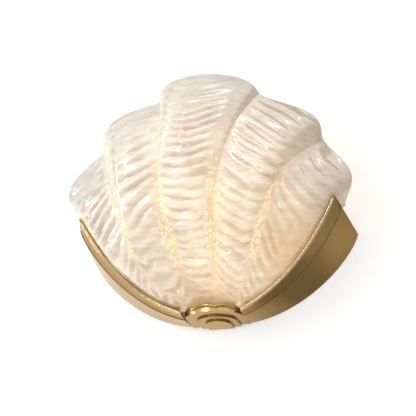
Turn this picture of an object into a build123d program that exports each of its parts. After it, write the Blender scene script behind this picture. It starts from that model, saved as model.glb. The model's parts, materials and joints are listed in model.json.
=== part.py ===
from build123d import *
from math import atan2, cos, degrees, hypot, pi, radians, sin
import os

# Shell wall sconce. Millimetres. +X is to the viewer's right, +Z is up and +Y goes into the wall.
# The wall is the plane y = 0, and a "depth" is a distance out from the wall, so y = -depth.
# The origin is on the wall, on the centre line, at the height of the shade's heel in its cradle.

# ---------------------------------------------------------------- brass cradle
# Three lines run along each brass wing from the boss to the wing's tip: the polished front lip,
# the crease between bezel and skirt, and the rear edge on the wall. Each is a cubic curve given
# by four control points (x, depth, z), written for the right-hand wing.
LIP_LINE = ((31.0, 39.5, -10.5), (75.5, 51.0, 6.5), (107.0, 53.5, 38.0), (135.5, 62.0, 92.5))
CREASE_LINE = ((31.0, 28.0, -15.0), (99.0, 40.5, 3.0), (141.0, 45.0, 76.5), (139.5, 49.5, 83.5))
REAR_LINE = ((31.0, 0.0, -15.5), (89.5, 0.0, -8.5), (136.0, 0.0, 40.0), (144.5, 0.0, 68.0))
WING_SHEET = 1.8
LIP_BEAD_RADIUS = 1.7
CREASE_STEP = 0.6
WING_STATIONS = 10
LIP_NECK_SHARE = 1.2

# ---------------------------------------------------------------- glass shade
# The four valleys between the five ribs, left to right, each a cubic curve from heel to rim with
# four control points (x, depth, z). Like most hand-shaped shells, the two halves differ a little.
VALLEYS = (
    ((-19.0, 27.0, -5.5), (-83.7, 98.3, 18.8), (-67.8, 125.9, 98.9), (-117.8, 45.6, 173.0)),
    ((-8.0, 30.0, -5.0), (-41.5, 124.1, 64.1), (-25.5, 117.7, 147.4), (-47.7, 59.7, 214.0)),
    ((8.0, 30.0, -5.0), (22.6, 124.6, 68.3), (26.0, 117.1, 146.1), (60.1, 60.0, 209.3)),
    ((19.0, 27.0, -5.5), (74.3, 97.8, 21.4), (65.3, 125.8, 103.6), (124.7, 42.2, 154.3)),
)
# How far each rib's crest stands off the line between its two valleys at the rim, and how full
# the rib is: under 1 it is flat on top with steep flanks, over 1 it is more pointed.
BULGES = (
    (-19.8, 10.1, -5.5), (-18.0, 9.5, 3.4), (-3.8, 16.6, 20.3), (23.4, 9.2, -2.6), (18.0, 10.1, -5.0),
)
FULLNESS = (1.42, 1.01, 0.36, 1.45, 1.27)
VALLEY_SOFTNESS = 0.044
MIDDLE_RIB_GROWTH = 0.6
SIDE_RIB_GROWTH = 1.2
GLASS_WALL = 5.0
SEAT_GAP = 1.1
EDGE_SETBACK = 6.0
HEEL_LIFT = 6.6
# From TIP_START on, each side edge first tucks in behind the wing's tip and then flares over it.
TIP_START = 0.66
LEFT_TIP_TUCK = (-2.0, -22.0, -8.9)
LEFT_TIP_FLARE = (-13.6, 0.0, 17.2)
RIGHT_TIP_TUCK = (-1.8, -22.3, -12.0)
RIGHT_TIP_FLARE = (8.2, -0.2, 9.0)
GLASS_ROWS = 15
GLASS_STEPS_PER_RIB = 8
SURFACE_TOLERANCE = 0.4

# ---------------------------------------------------------------- stepped boss
BOSS_HALF_WIDTH = 30.6
BOSS_DEPTH = 46.0
BOSS_NOSE = 22.0
BOSS_FLOOR_FRONT = -11.5
BOSS_WALL = 2.2
BOSS_FLOOR = 2.4
BOSS_SLOPE = 6.0
BOSS_RAISE = 20.0
BOSS_SIDE_TOP = -10.6
BOSS_FRONT_TOP = -7.0
TIER_STEP = 1.8
TIER_HALF_WIDTHS = (21.0, 13.5)
TIER_DEPTHS = (34.0, 25.0)
TIER_NOSES = (17.0, 12.5)
TIER_EDGE_ROUND = 0.7
SCALLOP_RADIUS = 2.1
SCALLOP_DIPS = (-16.0, 7.0, 22.0)
SCALLOP_RISE = 2.2
SCALLOP_INSET_SHARE = 0.6

# ---------------------------------------------------------------- wall plate
PLATE_THICKNESS = 3.0
PLATE_EDGE_GAP = 1.0
PLATE_SHOULDER_STATION = 0.86
PLATE_OUTLINE_STATIONS = 7
PLATE_NOTCH_MARGIN = 2.4
PLATE_TONGUE_HALF_WIDTH = 42.0
PLATE_TOP = 122.0
PLATE_CORNER = 10.0
PLATE_TONGUE_OVERLAP = 20.0
PLATE_NOTCH_TOP = -8.0
WALL_SLOT_SPACING = 60.0
WALL_SLOT_LENGTH = 12.0
WALL_SLOT_WIDTH = 5.0
WALL_SLOT_HEIGHT = 104.0

# ---------------------------------------------------------------- fastenings
M4_RADIUS = 2.0
M4_HEAD_RADIUS = 3.8
M4_HEAD_HEIGHT = 2.4
M3_RADIUS = 1.5
M3_HEAD_RADIUS = 2.8
M3_HEAD_HEIGHT = 1.8
HOLE_CLEARANCE = 0.3
THREAD_CLEARANCE = 0.05
SCREW_END_SETBACK = 0.2
SCREW_HEAD_ROUND = 0.45
# Cuts start CUT_MARGIN before a surface; drilled holes and cutting blocks are longer than they need be.
CUT_MARGIN = 1.0
DRILL_LENGTH = 20.0
CUTTER_SIZE = 200.0
DRIVER_SLOT_WIDTH = 0.9
DRIVER_SLOT_DEPTH = 0.9
EAR_STATIONS = (0.30, 0.80)
EAR_WIDTH = 12.0
EAR_REACH = 15.0
EAR_ROOT_SHARE = 0.78
EAR_THICKNESS = 1.8
EAR_HOLE_SHARE = 0.55
BOSS_EAR_HEIGHT = 11.0
BOSS_EAR_HALF_WIDTH = 20.0
BOSS_EAR_ROOT = 5.0
BOSS_SCREW_X = 14.0
BOSS_SCREW_Z = 2.0

# ---------------------------------------------------------------- lamp holder (E14)
HOLDER_X = -2.0
HOLDER_BASE = 22.0
HOLDER_HEIGHT = 38.0
HOLDER_RADIUS = 12.8
HOLDER_RIM_RADIUS = 14.2
HOLDER_RIM_HEIGHT = 6.0
HOLDER_FLOOR = 9.0
SHELL_BOTTOM = 34.0
SHELL_WALL = 0.5
SHELL_GAP = 0.1
SHELL_SETBACK = 4.0
HOLDER_ROUND = 1.2
CAP_RADIUS = 6.95
CAP_RUNNING_GAP = 0.08
CONTACT_LIFT = 2.2
CONTACT_LENGTH = 11.0
CONTACT_WIDTH = 5.0
CONTACT_THICKNESS = 0.6
BRACKET_THICKNESS = 2.0
BRACKET_WIDTH = 22.0
BRACKET_LEG_BOTTOM = 20.0
BRACKET_LEG_TOP = 58.0
BRACKET_SCREW_RISE = 14.0
BRACKET_SCREW_PITCH = 16.0
BRACKET_FRONT_GAP = 4.24
NIPPLE_RADIUS = 5.0
NIPPLE_BORE = 3.6
NIPPLE_CLEARANCE = 0.15
NIPPLE_ENTRY = 5.5
NIPPLE_TAIL = 1.0
NIPPLE_END_GAP = 0.5
LOCKNUT_ACROSS = 14.0
LOCKNUT_HEIGHT = 3.0

WIRE_HOLE_Z = 27.0
WIRE_HOLE_SPREAD = 4.0
WIRE_HOLE_DEPTH = 5.5
WIRE_HOLE_CLEARANCE = 0.25
WIRE_END_GAP = 0.5

# ---------------------------------------------------------------- bulb (E14 golf ball)
BULB_RADIUS = 22.5
BULB_LENGTH = 78.0
CAP_HEIGHT = 17.0
INSULATOR_HEIGHT = 4.0
TIP_RADIUS = 2.6
TIP_HEIGHT = 1.4
TIP_ROUND = 0.84
TIP_SEAT = 0.8
CAP_WALL = 0.5
CAP_FLOOR = 1.0
BULB_NECK_RISE = 6.0
BULB_SHOULDER_SHARE = 0.73
BULB_GLASS = 0.9
STEM_RADIUS = 3.2
FILAMENT_RADIUS = 0.9
FILAMENT_LENGTH = 24.0
FILAMENT_RING = 7.0
SPOKE_RADIUS = 0.35
SPOKE_HUB_RADIUS = 1.2
SPOKE_HUB_HEIGHT = 1.2

# ---------------------------------------------------------------- supply and earth
TERMINAL_X = -44.0
TERMINAL_Z = 30.0
TERMINAL_POLES = 3
TERMINAL_PITCH = 9.0
TERMINAL_LENGTH = 17.0
TERMINAL_DEPTH = 14.0
TERMINAL_BORE = 1.9
TERMINAL_BORE_LIFT = 6.5
TERMINAL_BORE_DEPTH = PLATE_THICKNESS + TERMINAL_BORE_LIFT
TERMINAL_SCREW_SPREAD = 4.3
TERMINAL_CHAMFER = 2.0
FIXING_CLEARANCE = 0.15
CLAMP_WALL = 0.9
SCREW_WELL_RADIUS = 2.1
CLAMP_SETBACK = 1.5
CLAMP_SCREW_LENGTH = 5.0
CLAMP_SCREW_GAP = 0.1
CLAMP_SLOT_WIDTH = 0.6
ENTRY_X = 30.0
ENTRY_Z = 30.0
GROMMET_RADIUS = 6.5
GROMMET_FLANGE = 9.0
GROMMET_BORE = 3.6
GROMMET_LIP = 1.6
GROMMET_ROUND = 0.96
EARTH_X = 14.0
EARTH_Z = 74.0
WIRE_RADIUS = 1.1
WIRE_STEP = 10.0
BEND_SHARE = 0.45
LUG_THICKNESS = 0.8
LUG_BARREL_RADIUS = 1.8
LUG_BARREL_LENGTH = 7.0
LUG_BARREL_START = 14.0
LUG_TONGUE_LENGTH = 8.0
LUG_AXIS_DEPTH = PLATE_THICKNESS + LUG_BARREL_RADIUS
LUG_RING_RADIUS = 4.4
WASHER_THICKNESS = 0.8

# ---------------------------------------------------------------- shade pads
PAD_STATIONS = (0.22, 0.55)
PAD_RADIUS = 3.5
PAD_LENGTH = 16.0
PAD_SHARE = 0.42
PAD_GAP = 0.3
PAD_SEAT_GAP = 0.15

os.makedirs("parts", exist_ok=True)


def at(x, depth, z):
    """A point x across, depth out from the wall and z up."""
    return Vector(x, -depth, z)


def on_line(line, t, side=1):
    """The point at t, from 0 to 1, of a cubic curve; side -1 gives its mirror image."""
    shares = ((1 - t) ** 3, 3 * (1 - t) ** 2 * t, 3 * (1 - t) * t**2, t**3)
    x, depth, z = (sum(p[k] * share for p, share in zip(line, shares)) for k in range(3))
    return at(side * x, depth, z)


def unit(vector):
    return vector.normalized()


def upright(x, depth, z, radius, height):
    """A vertical cylinder whose base centre is at x, depth, z."""
    return Pos(at(x, depth, z)) * Cylinder(radius, height, align=(Align.CENTER, Align.CENTER, Align.MIN))


def outward(x, depth, z, radius, length):
    """A cylinder that starts at x, depth, z and points out from the wall."""
    base = Pos(at(x, depth, z)) * Rot(90, 0, 0)
    return base * Cylinder(radius, length, align=(Align.CENTER, Align.CENTER, Align.MIN))


def block(x_low, x_high, depth_low, depth_high, z_low, z_high):
    """A box between two values on each axis."""
    corner = Pos(at(x_low, depth_high, z_low))
    size = (x_high - x_low, depth_high - depth_low, z_high - z_low)
    return corner * Box(*size, align=(Align.MIN, Align.MIN, Align.MIN))


def slotted_screw(x, depth, z, radius, head_radius, head_height, length):
    """A round-head slotted screw driven towards the wall, with its head's seat at depth."""
    head = outward(x, depth, z, head_radius, head_height)
    head = fillet(head.edges().sort_by(Axis.Y)[0], head_height * SCREW_HEAD_ROUND)
    slot = block(
        x - head_radius, x + head_radius,
        depth + head_height - DRIVER_SLOT_DEPTH, depth + head_height + CUT_MARGIN,
        z - DRIVER_SLOT_WIDTH / 2, z + DRIVER_SLOT_WIDTH / 2,
    )
    shank = outward(x, depth - length, z, radius, length)
    return head - slot + shank


def crossing(low, high, before):
    """The value between low and high where before(value) stops being true, found by halving."""
    for _ in range(30):
        middle = (low + high) / 2
        low, high = (middle, high) if before(middle) else (low, middle)
    return low


def depth_of_middle_valley(z):
    """How far out from the wall the right middle valley of the shade is at height z."""
    share = crossing(0.0, 0.5, lambda t: on_line(VALLEYS[2], t).Z < z)
    return -on_line(VALLEYS[2], share).Y


# The lamp holder's axis stands where its bracket keeps clear of the glass in front of it.
BRACKET_FRONT = depth_of_middle_valley(BRACKET_LEG_BOTTOM) - GLASS_WALL - BRACKET_FRONT_GAP
HOLDER_DEPTH = BRACKET_FRONT - BRACKET_WIDTH / 2


# ---------------------------------------------------------------- brass wings


def crease_at(t, side):
    """The crease's point beside those of the rear edge and the lip at t.

    It lies in the plane square to the wall through the other two, so that the sheet keeps its
    thickness; towards the tip it goes over to the crease's own end.
    """

    def beyond_plane(share, station):
        rear, lip = on_line(REAR_LINE, station, side), on_line(LIP_LINE, station, side)
        square = unit(Vector(lip.Z - rear.Z, 0, rear.X - lip.X)) * side
        return (on_line(CREASE_LINE, share, side) - rear).dot(square)

    at_tip = t * beyond_plane(1.0, 1.0)
    share = crossing(0.0, 1.0, lambda share: beyond_plane(share, t) < at_tip)
    return on_line(CREASE_LINE, share, side)


def wing_frame(t, side):
    """Places on the wing at t, in the plane through its three lines.

    Returns the skirt's height, the bezel's length and two functions: on_skirt(u, v) is u up the
    skirt from the wall and v inward, and on_bezel(u, v) is u up the bezel from the crease and v
    inward, square to it.
    """
    rear, crease, lip = on_line(REAR_LINE, t, side), crease_at(t, side), on_line(LIP_LINE, t, side)
    along = unit(crease - rear)
    lean = lip - crease
    inward = unit(lean - along * lean.dot(along))
    skirt = (crease - rear).length
    bezel = lean.length
    fu, fv = lean.dot(along) / bezel, lean.dot(inward) / bezel

    def on_skirt(u, v):
        return rear + along * u + inward * v

    def on_bezel(u, v):
        return on_skirt(skirt + fu * u - fv * v, fv * u + fu * v)

    return skirt, bezel, on_skirt, on_bezel


def wing_section(t, side):
    """The closed outline of the wing's sheet at t."""
    skirt, bezel, on_skirt, on_bezel = wing_frame(t, side)
    bead = bezel - LIP_BEAD_RADIUS
    middle = CREASE_STEP + WING_SHEET / 2
    neck = bead - LIP_BEAD_RADIUS * LIP_NECK_SHARE
    outside = [
        on_skirt(0, 0),
        on_skirt(skirt, 0),
        on_bezel(0, CREASE_STEP),
        on_bezel(neck, CREASE_STEP),
        on_bezel(bead, middle - LIP_BEAD_RADIUS),
    ]
    bead_nose = on_bezel(bead + LIP_BEAD_RADIUS, middle)
    inside = [
        on_bezel(bead, middle + LIP_BEAD_RADIUS),
        on_bezel(neck, CREASE_STEP + WING_SHEET),
        on_bezel(0, WING_SHEET),
        on_skirt(0, WING_SHEET),
        outside[0],
    ]
    edges = [Line(a, b) for a, b in zip(outside, outside[1:])]
    edges.append(ThreePointArc(outside[-1], bead_nose, inside[0]))
    return Wire(edges + [Line(a, b) for a, b in zip(inside, inside[1:])])


def wing_ear(t, side):
    """A flat ear inside the rear edge, lying on the wall plate, with a screw hole."""
    rear = on_line(REAR_LINE, t, side)
    ahead = on_line(REAR_LINE, t + 0.01, side)
    run = unit(ahead - rear)
    inward = Vector(-run.Z * side, 0, run.X * side)
    centre = rear + inward * (WING_SHEET * EAR_ROOT_SHARE + EAR_REACH / 2)
    turn = degrees(atan2(run.Z, run.X))
    seat = Pos(centre.X, -PLATE_THICKNESS - EAR_THICKNESS / 2, centre.Z) * Rot(0, -turn, 0)
    ear = seat * Box(EAR_WIDTH, EAR_THICKNESS, EAR_REACH)
    hole_at = rear + inward * (WING_SHEET + EAR_REACH * EAR_HOLE_SHARE)
    return ear, hole_at


def make_wing(side):
    sections = [wing_section(k / (WING_STATIONS - 1), side) for k in range(WING_STATIONS)]
    wing = Solid.make_loft(sections)
    for t in EAR_STATIONS:
        ear, hole_at = wing_ear(t, side)
        hole = outward(hole_at.X, 0, hole_at.Z, M4_RADIUS + HOLE_CLEARANCE, DRILL_LENGTH)
        wing = wing + (ear - hole)
    return wing


# ---------------------------------------------------------------- glass shade


def inward_of_lip(t, side):
    """The direction along the wall that points inward from a wing's lip, square to its run."""
    run = on_line(LIP_LINE, min(t + 0.01, 1.0), side) - on_line(LIP_LINE, max(t - 0.01, 0.0), side)
    run = unit(Vector(run.X, 0, run.Z))
    return Vector(-run.Z, 0, run.X) * side


def side_edge(t, side):
    """The shade's side edge: it follows the wing's lip inside, then flares over the tip."""
    inward = inward_of_lip(t, side)
    tuck, flare = (RIGHT_TIP_TUCK, RIGHT_TIP_FLARE) if side > 0 else (LEFT_TIP_TUCK, LEFT_TIP_FLARE)
    beyond = max(0.0, (t - TIP_START) / (1 - TIP_START))
    lip = on_line(LIP_LINE, t, side)
    edge = lip + inward * SEAT_GAP + at(0, -EDGE_SETBACK, HEEL_LIFT * (1 - t) ** 6)
    return edge + at(*tuck) * beyond**2 + at(*flare) * beyond**6


def rib_arch(w, fullness):
    """How far a rib stands up between its two valleys, from 0 to 1, with softened valleys."""
    wave = hypot(sin(pi * w), VALLEY_SOFTNESS) - VALLEY_SOFTNESS
    crest = hypot(1, VALLEY_SOFTNESS) - VALLEY_SOFTNESS
    return (max(wave, 0.0) / crest) ** fullness


def shade_point(rib, w, t):
    """The outer face of rib 0 to 4 from the left, w across it and t from heel to rim."""
    lines = [side_edge(t, -1)] + [on_line(valley, t) for valley in VALLEYS] + [side_edge(t, 1)]
    growth = t ** (SIDE_RIB_GROWTH if rib in (0, 4) else MIDDLE_RIB_GROWTH)
    chord = lines[rib] * (1 - w) + lines[rib + 1] * w
    return chord + at(*BULGES[rib]) * (rib_arch(w, FULLNESS[rib]) * growth)


def shade_grid():
    """Rows of points over the shade's outer face, closer together near the valleys."""
    across = [(1 - cos(pi * k / GLASS_STEPS_PER_RIB)) / 2 for k in range(GLASS_STEPS_PER_RIB)]
    rows = []
    for j in range(GLASS_ROWS):
        t = j / (GLASS_ROWS - 1)
        row = [shade_point(rib, w, t) for rib in range(5) for w in across]
        rows.append(row + [shade_point(4, 1.0, t)])
    return rows


def inset_grid(rows, distance):
    """The grid moved inward, square to its own surface."""
    last_row, last_column = len(rows) - 1, len(rows[0]) - 1
    moved = []
    for j, row in enumerate(rows):
        new_row = []
        for k, point in enumerate(row):
            up = rows[min(j + 1, last_row)][k] - rows[max(j - 1, 0)][k]
            across = row[min(k + 1, last_column)] - row[max(k - 1, 0)]
            new_row.append(point + unit(up.cross(across)) * distance)
        moved.append(new_row)
    return moved


def make_shade():
    outer_rows = shade_grid()
    inner_rows = inset_grid(outer_rows, GLASS_WALL)
    faces = [
        Face.make_surface_from_array_of_points(rows, tol=SURFACE_TOLERANCE, min_deg=3, max_deg=3)
        for rows in (outer_rows, inner_rows)
    ]
    outer_edges, inner_edges = (face.edges() for face in faces)
    for edge in outer_edges:
        partner = min(inner_edges, key=lambda other: ((other @ 0.5) - (edge @ 0.5)).length)
        faces.append(Face.make_surface_from_curves(edge, partner))
    return Solid(Shell(faces))


# ---------------------------------------------------------------- stepped boss


def half_oval(half_width, depth, nose):
    """A flat outline on the wall with straight sides and a rounded front, as seen from above."""
    sides = depth - nose
    nose_arc = EllipticalCenterArc((0, -sides), half_width, nose, start_angle=180, arc_size=180)
    left = Line((-half_width, 0), (-half_width, -sides))
    right = Line((half_width, -sides), (half_width, 0))
    back = Line((half_width, 0), (-half_width, 0))
    return make_face([left, nose_arc, right, back])


def floor_plane(drop):
    """The plane of the boss's underside, drop below its front edge, sloping down to the wall."""
    return Plane(
        origin=(0, 0, BOSS_FLOOR_FRONT - drop - BOSS_DEPTH * sin(radians(BOSS_SLOPE))),
        x_dir=(1, 0, 0),
        z_dir=(0, sin(radians(BOSS_SLOPE)), cos(radians(BOSS_SLOPE))),
    )


def make_boss():
    outer = half_oval(BOSS_HALF_WIDTH, BOSS_DEPTH, BOSS_NOSE)
    inner = half_oval(BOSS_HALF_WIDTH - BOSS_WALL, BOSS_DEPTH - BOSS_WALL, BOSS_NOSE - BOSS_WALL)
    boss = extrude(floor_plane(0) * outer, BOSS_RAISE)
    boss = boss - extrude(floor_plane(-BOSS_FLOOR) * inner, BOSS_RAISE)
    rise = degrees(atan2(BOSS_FRONT_TOP - BOSS_SIDE_TOP, BOSS_DEPTH - BOSS_NOSE))
    top = Pos(at(0, BOSS_DEPTH - BOSS_NOSE, BOSS_SIDE_TOP)) * Rot(-rise, 0, 0)
    above = Box(CUTTER_SIZE, CUTTER_SIZE, CUTTER_SIZE, align=(Align.CENTER, Align.CENTER, Align.MIN))
    boss = boss - top * above
    for k, (half_width, depth, nose) in enumerate(zip(TIER_HALF_WIDTHS, TIER_DEPTHS, TIER_NOSES)):
        tier = extrude(floor_plane(TIER_STEP * (k + 1)) * half_oval(half_width, depth, nose), TIER_STEP)
        boss = boss + tier
    ear = block(
        -BOSS_EAR_HALF_WIDTH, BOSS_EAR_HALF_WIDTH, PLATE_THICKNESS, PLATE_THICKNESS + EAR_THICKNESS,
        BOSS_SIDE_TOP - BOSS_EAR_ROOT, BOSS_EAR_HEIGHT,
    )
    for x in (-BOSS_SCREW_X, BOSS_SCREW_X):
        ear = ear - outward(x, 0, BOSS_SCREW_Z, M4_RADIUS + HOLE_CLEARANCE, DRILL_LENGTH)
    return boss + ear + make_scallops()


def make_scallops():
    """The boss's polished front lip, a row of small arches like the edge of a shell."""
    lower = BOSS_HALF_WIDTH - SCALLOP_RADIUS * SCALLOP_INSET_SHARE
    stops = [-lower, *SCALLOP_DIPS, lower]

    def on_rim(x, rise):
        nose = BOSS_NOSE - SCALLOP_RADIUS * SCALLOP_INSET_SHARE
        share = min(abs(x) / lower, 1.0)
        depth = BOSS_DEPTH - BOSS_NOSE + nose * (1 - share**2) ** 0.5
        slope = (BOSS_FRONT_TOP - BOSS_SIDE_TOP) / BOSS_NOSE
        height = BOSS_SIDE_TOP + (depth - (BOSS_DEPTH - BOSS_NOSE)) * slope
        return at(x, depth, height + rise)

    lip = None
    for x_start, x_end in zip(stops, stops[1:]):
        start, end = on_rim(x_start, 0), on_rim(x_end, 0)
        crown = on_rim((x_start + x_end) / 2, SCALLOP_RISE)
        arch = Edge.make_three_point_arc(start, crown, end)
        profile = Plane(origin=start, z_dir=arch % 0) * Circle(SCALLOP_RADIUS)
        piece = sweep(profile, path=arch)
        for point in (start, end):
            piece = piece + Pos(point) * Sphere(SCALLOP_RADIUS)
        lip = piece if lip is None else lip + piece
    return lip


# ---------------------------------------------------------------- wall plate


def inside_rear(t, side, distance):
    """A point on the wall, inside the rear edge of a wing by distance."""
    rear = on_line(REAR_LINE, t, side)
    run = unit(on_line(REAR_LINE, t + 0.01, side) - rear)
    return rear + Vector(-run.Z * side, 0, run.X * side) * distance


def make_plate(ear_holes):
    inset = WING_SHEET + PLATE_EDGE_GAP
    spacing = PLATE_SHOULDER_STATION / (PLATE_OUTLINE_STATIONS - 1)
    stations = [spacing * k for k in range(PLATE_OUTLINE_STATIONS)]
    right = [inside_rear(t, 1, inset) for t in stations]
    left = [inside_rear(t, -1, inset) for t in reversed(stations)]
    outline = [Spline(*right), Line(right[-1], left[0]), Spline(*left), Line(left[-1], right[0])]
    shield = Solid.extrude(Face(Wire(outline)), Vector(0, -PLATE_THICKNESS, 0))
    shoulder = right[-1].Z
    half = PLATE_TONGUE_HALF_WIDTH
    tongue = block(-half, half, 0, PLATE_THICKNESS, shoulder - PLATE_TONGUE_OVERLAP, PLATE_TOP)
    corners = tongue.edges().filter_by(Axis.Y).group_by(Axis.Z)[-1]
    plate = shield + fillet(corners, PLATE_CORNER)
    notch = BOSS_HALF_WIDTH + PLATE_NOTCH_MARGIN
    plate = plate - block(-notch, notch, -CUT_MARGIN, DRILL_LENGTH, -CUTTER_SIZE, PLATE_NOTCH_TOP)
    for point in ear_holes:
        plate = plate - outward(point.X, -CUT_MARGIN, point.Z, M4_RADIUS + THREAD_CLEARANCE, DRILL_LENGTH)
    for x, z in bracket_screw_places() + boss_screw_places() + [(EARTH_X, EARTH_Z)]:
        plate = plate - outward(x, -CUT_MARGIN, z, M4_RADIUS + THREAD_CLEARANCE, DRILL_LENGTH)
    for x in terminal_screw_places():
        hole = outward(x, -CUT_MARGIN, TERMINAL_Z, M3_RADIUS + THREAD_CLEARANCE, DRILL_LENGTH)
        plate = plate - hole
    plate = plate - outward(ENTRY_X, -CUT_MARGIN, ENTRY_Z, GROMMET_RADIUS, DRILL_LENGTH)
    straight = WALL_SLOT_LENGTH - WALL_SLOT_WIDTH
    for x in (-WALL_SLOT_SPACING / 2, WALL_SLOT_SPACING / 2):
        for end in (x - straight / 2, x + straight / 2):
            round_end = outward(end, -CUT_MARGIN, WALL_SLOT_HEIGHT, WALL_SLOT_WIDTH / 2, DRILL_LENGTH)
            plate = plate - round_end
        plate = plate - block(
            x - straight / 2, x + straight / 2, -CUT_MARGIN, DRILL_LENGTH,
            WALL_SLOT_HEIGHT - WALL_SLOT_WIDTH / 2, WALL_SLOT_HEIGHT + WALL_SLOT_WIDTH / 2,
        )
    return plate


def boss_screw_places():
    return [(-BOSS_SCREW_X, BOSS_SCREW_Z), (BOSS_SCREW_X, BOSS_SCREW_Z)]


# ---------------------------------------------------------------- lamp holder


def bracket_screw_places():
    low = BRACKET_LEG_BOTTOM + BRACKET_SCREW_RISE
    return [(HOLDER_X, low), (HOLDER_X, low + BRACKET_SCREW_PITCH)]


def make_bracket():
    half = BRACKET_WIDTH / 2
    reach = HOLDER_DEPTH + half
    upright_leg = block(
        HOLDER_X - half, HOLDER_X + half, PLATE_THICKNESS, PLATE_THICKNESS + BRACKET_THICKNESS,
        BRACKET_LEG_BOTTOM, BRACKET_LEG_TOP,
    )
    shelf = block(
        HOLDER_X - half, HOLDER_X + half, PLATE_THICKNESS, HOLDER_DEPTH,
        BRACKET_LEG_BOTTOM, BRACKET_LEG_BOTTOM + BRACKET_THICKNESS,
    )
    shelf = shelf + upright(HOLDER_X, reach - half, BRACKET_LEG_BOTTOM, half, BRACKET_THICKNESS)
    bracket = upright_leg + shelf
    bore = NIPPLE_RADIUS + NIPPLE_CLEARANCE
    bracket = bracket - upright(HOLDER_X, HOLDER_DEPTH, BRACKET_LEG_BOTTOM - CUT_MARGIN, bore, DRILL_LENGTH)
    for x, z in bracket_screw_places():
        bracket = bracket - outward(x, 0, z, M4_RADIUS + HOLE_CLEARANCE, DRILL_LENGTH)
    return bracket


def socket_radius():
    return CAP_RADIUS + CAP_RUNNING_GAP + SHELL_WALL + SHELL_GAP


def make_holder():
    body = upright(HOLDER_X, HOLDER_DEPTH, HOLDER_BASE, HOLDER_RADIUS, HOLDER_HEIGHT)
    body = chamfer(body.edges().group_by(Axis.Z)[0], HOLDER_ROUND)
    rim = upright(
        HOLDER_X, HOLDER_DEPTH, HOLDER_BASE + HOLDER_HEIGHT - HOLDER_RIM_HEIGHT,
        HOLDER_RIM_RADIUS, HOLDER_RIM_HEIGHT,
    )
    body = body + fillet(rim.edges().filter_by(GeomType.CIRCLE), HOLDER_ROUND)
    floor = HOLDER_BASE + HOLDER_FLOOR
    body = body - upright(HOLDER_X, HOLDER_DEPTH, floor, socket_radius(), HOLDER_HEIGHT)
    body = body - upright(
        HOLDER_X, HOLDER_DEPTH, HOLDER_BASE - CUT_MARGIN,
        NIPPLE_RADIUS + THREAD_CLEARANCE, NIPPLE_ENTRY + NIPPLE_END_GAP + CUT_MARGIN,
    )
    for side in (-1, 1):
        back = HOLDER_DEPTH - HOLDER_RADIUS - CUT_MARGIN
        hole_radius = WIRE_RADIUS + WIRE_HOLE_CLEARANCE
        x = HOLDER_X + side * WIRE_HOLE_SPREAD
        body = body - outward(x, back, WIRE_HOLE_Z, hole_radius, WIRE_HOLE_DEPTH + CUT_MARGIN)
    return body


def make_socket_shell():
    inner = CAP_RADIUS + CAP_RUNNING_GAP
    length = HOLDER_BASE + HOLDER_HEIGHT - SHELL_SETBACK - SHELL_BOTTOM
    tube = upright(HOLDER_X, HOLDER_DEPTH, SHELL_BOTTOM, inner + SHELL_WALL, length)
    return tube - upright(HOLDER_X, HOLDER_DEPTH, SHELL_BOTTOM - CUT_MARGIN, inner, length + 2 * CUT_MARGIN)


def make_contact():
    floor = HOLDER_BASE + HOLDER_FLOOR
    leaf = block(
        HOLDER_X - CONTACT_LENGTH / 2, HOLDER_X + CONTACT_LENGTH / 2,
        HOLDER_DEPTH - CONTACT_WIDTH / 2, HOLDER_DEPTH + CONTACT_WIDTH / 2,
        floor, floor + CONTACT_THICKNESS,
    )
    return leaf + upright(HOLDER_X, HOLDER_DEPTH, floor, TIP_RADIUS, CONTACT_LIFT)


def make_nipple():
    bottom = BRACKET_LEG_BOTTOM - LOCKNUT_HEIGHT - NIPPLE_TAIL
    length = HOLDER_BASE + NIPPLE_ENTRY - bottom
    tube = upright(HOLDER_X, HOLDER_DEPTH, bottom, NIPPLE_RADIUS, length)
    return tube - upright(HOLDER_X, HOLDER_DEPTH, bottom - CUT_MARGIN, NIPPLE_BORE, length + 2 * CUT_MARGIN)


def make_locknut():
    centre = at(HOLDER_X, HOLDER_DEPTH, BRACKET_LEG_BOTTOM - LOCKNUT_HEIGHT)
    radius = LOCKNUT_ACROSS / 2 / cos(pi / 6)
    nut = extrude(Plane(origin=centre) * RegularPolygon(radius, 6), LOCKNUT_HEIGHT)
    bore = upright(
        HOLDER_X, HOLDER_DEPTH, BRACKET_LEG_BOTTOM - LOCKNUT_HEIGHT - CUT_MARGIN,
        NIPPLE_RADIUS + THREAD_CLEARANCE, LOCKNUT_HEIGHT + 2 * CUT_MARGIN,
    )
    return nut - bore


# ---------------------------------------------------------------- bulb


def bulb_bottom():
    return HOLDER_BASE + HOLDER_FLOOR + CONTACT_LIFT + THREAD_CLEARANCE


def spun(*edges):
    """A solid turned about the lamp holder's upright axis from an outline in radius and height."""
    face = Plane.XZ * make_face(edges)
    return Pos(at(HOLDER_X, HOLDER_DEPTH, 0)) * revolve(face, Axis.Z)


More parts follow.
